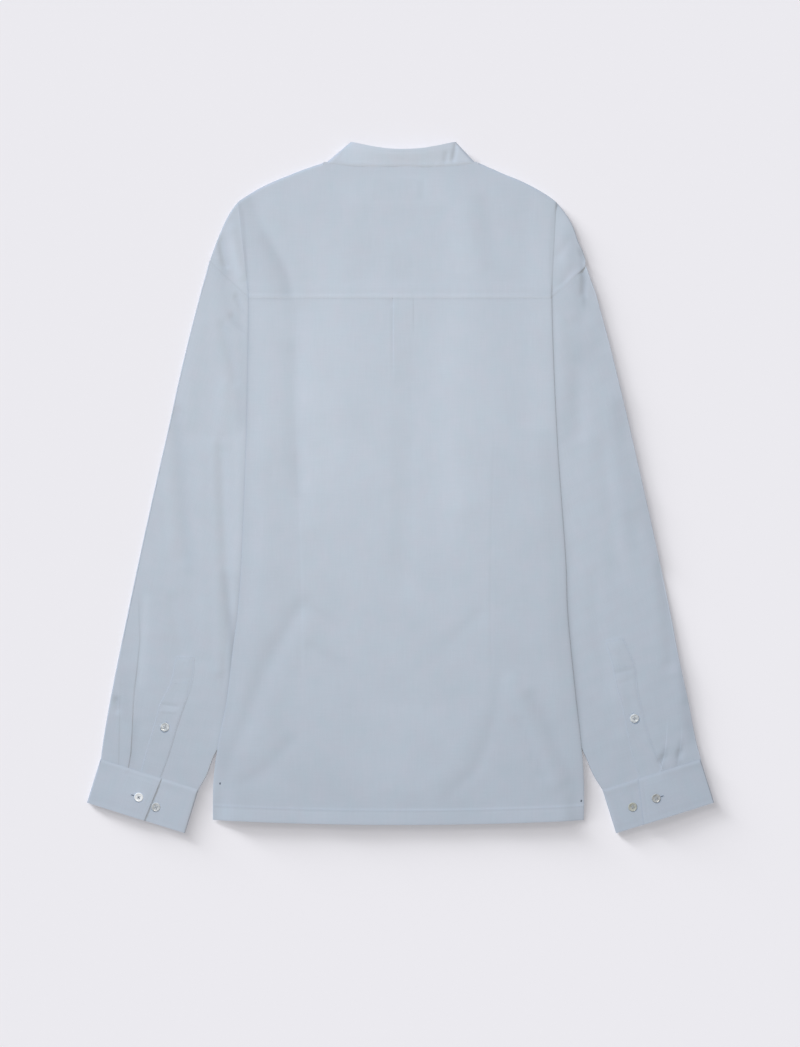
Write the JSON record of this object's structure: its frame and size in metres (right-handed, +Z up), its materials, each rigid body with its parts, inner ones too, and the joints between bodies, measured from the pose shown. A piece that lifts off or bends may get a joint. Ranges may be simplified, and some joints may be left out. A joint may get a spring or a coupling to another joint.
{
  "type": "mandarin collar shirt",
  "caption": "Long-sleeved mandarin collar shirt laid flat with its back up, with a yoke, waist darts, sleeve plackets and buttoned cuffs.",
  "frame": {"origin": "middle of the shirt's box, on the surface it lies on", "axes": "+Z up out of the back, +Y towards the collar, +X towards the wearer's right sleeve"},
  "size_m": [0.7224, 0.7954, 0.01],
  "materials": {
    "shirting": "plain-woven light blue cotton, matt",
    "label": "plain woven tape, bare",
    "button": "pearly white, polished"
  },
  "bodies": {
    "root": {"back": "shirting", "yoke": "shirting", "front_left": "shirting", "front_right": "shirting", "collar_band": "shirting", "neck_label": "label", "sleeve_left": "shirting", "sleeve_placket_left": "shirting", "cuff_left": "shirting", "sleeve_right": "shirting", "sleeve_placket_right": "shirting", "cuff_right": "shirting", "sleeve_placket_button_left": "button", "cuff_button_fastened_left": "button", "cuff_button_spare_left": "button", "sleeve_placket_button_right": "button", "cuff_button_fastened_right": "button", "cuff_button_spare_right": "button", "band_button": "button", "front_button_1": "button", "front_button_2": "button", "front_button_3": "button", "front_button_4": "button", "front_button_5": "button", "front_button_6": "button"}
  },
  "joints": []
}
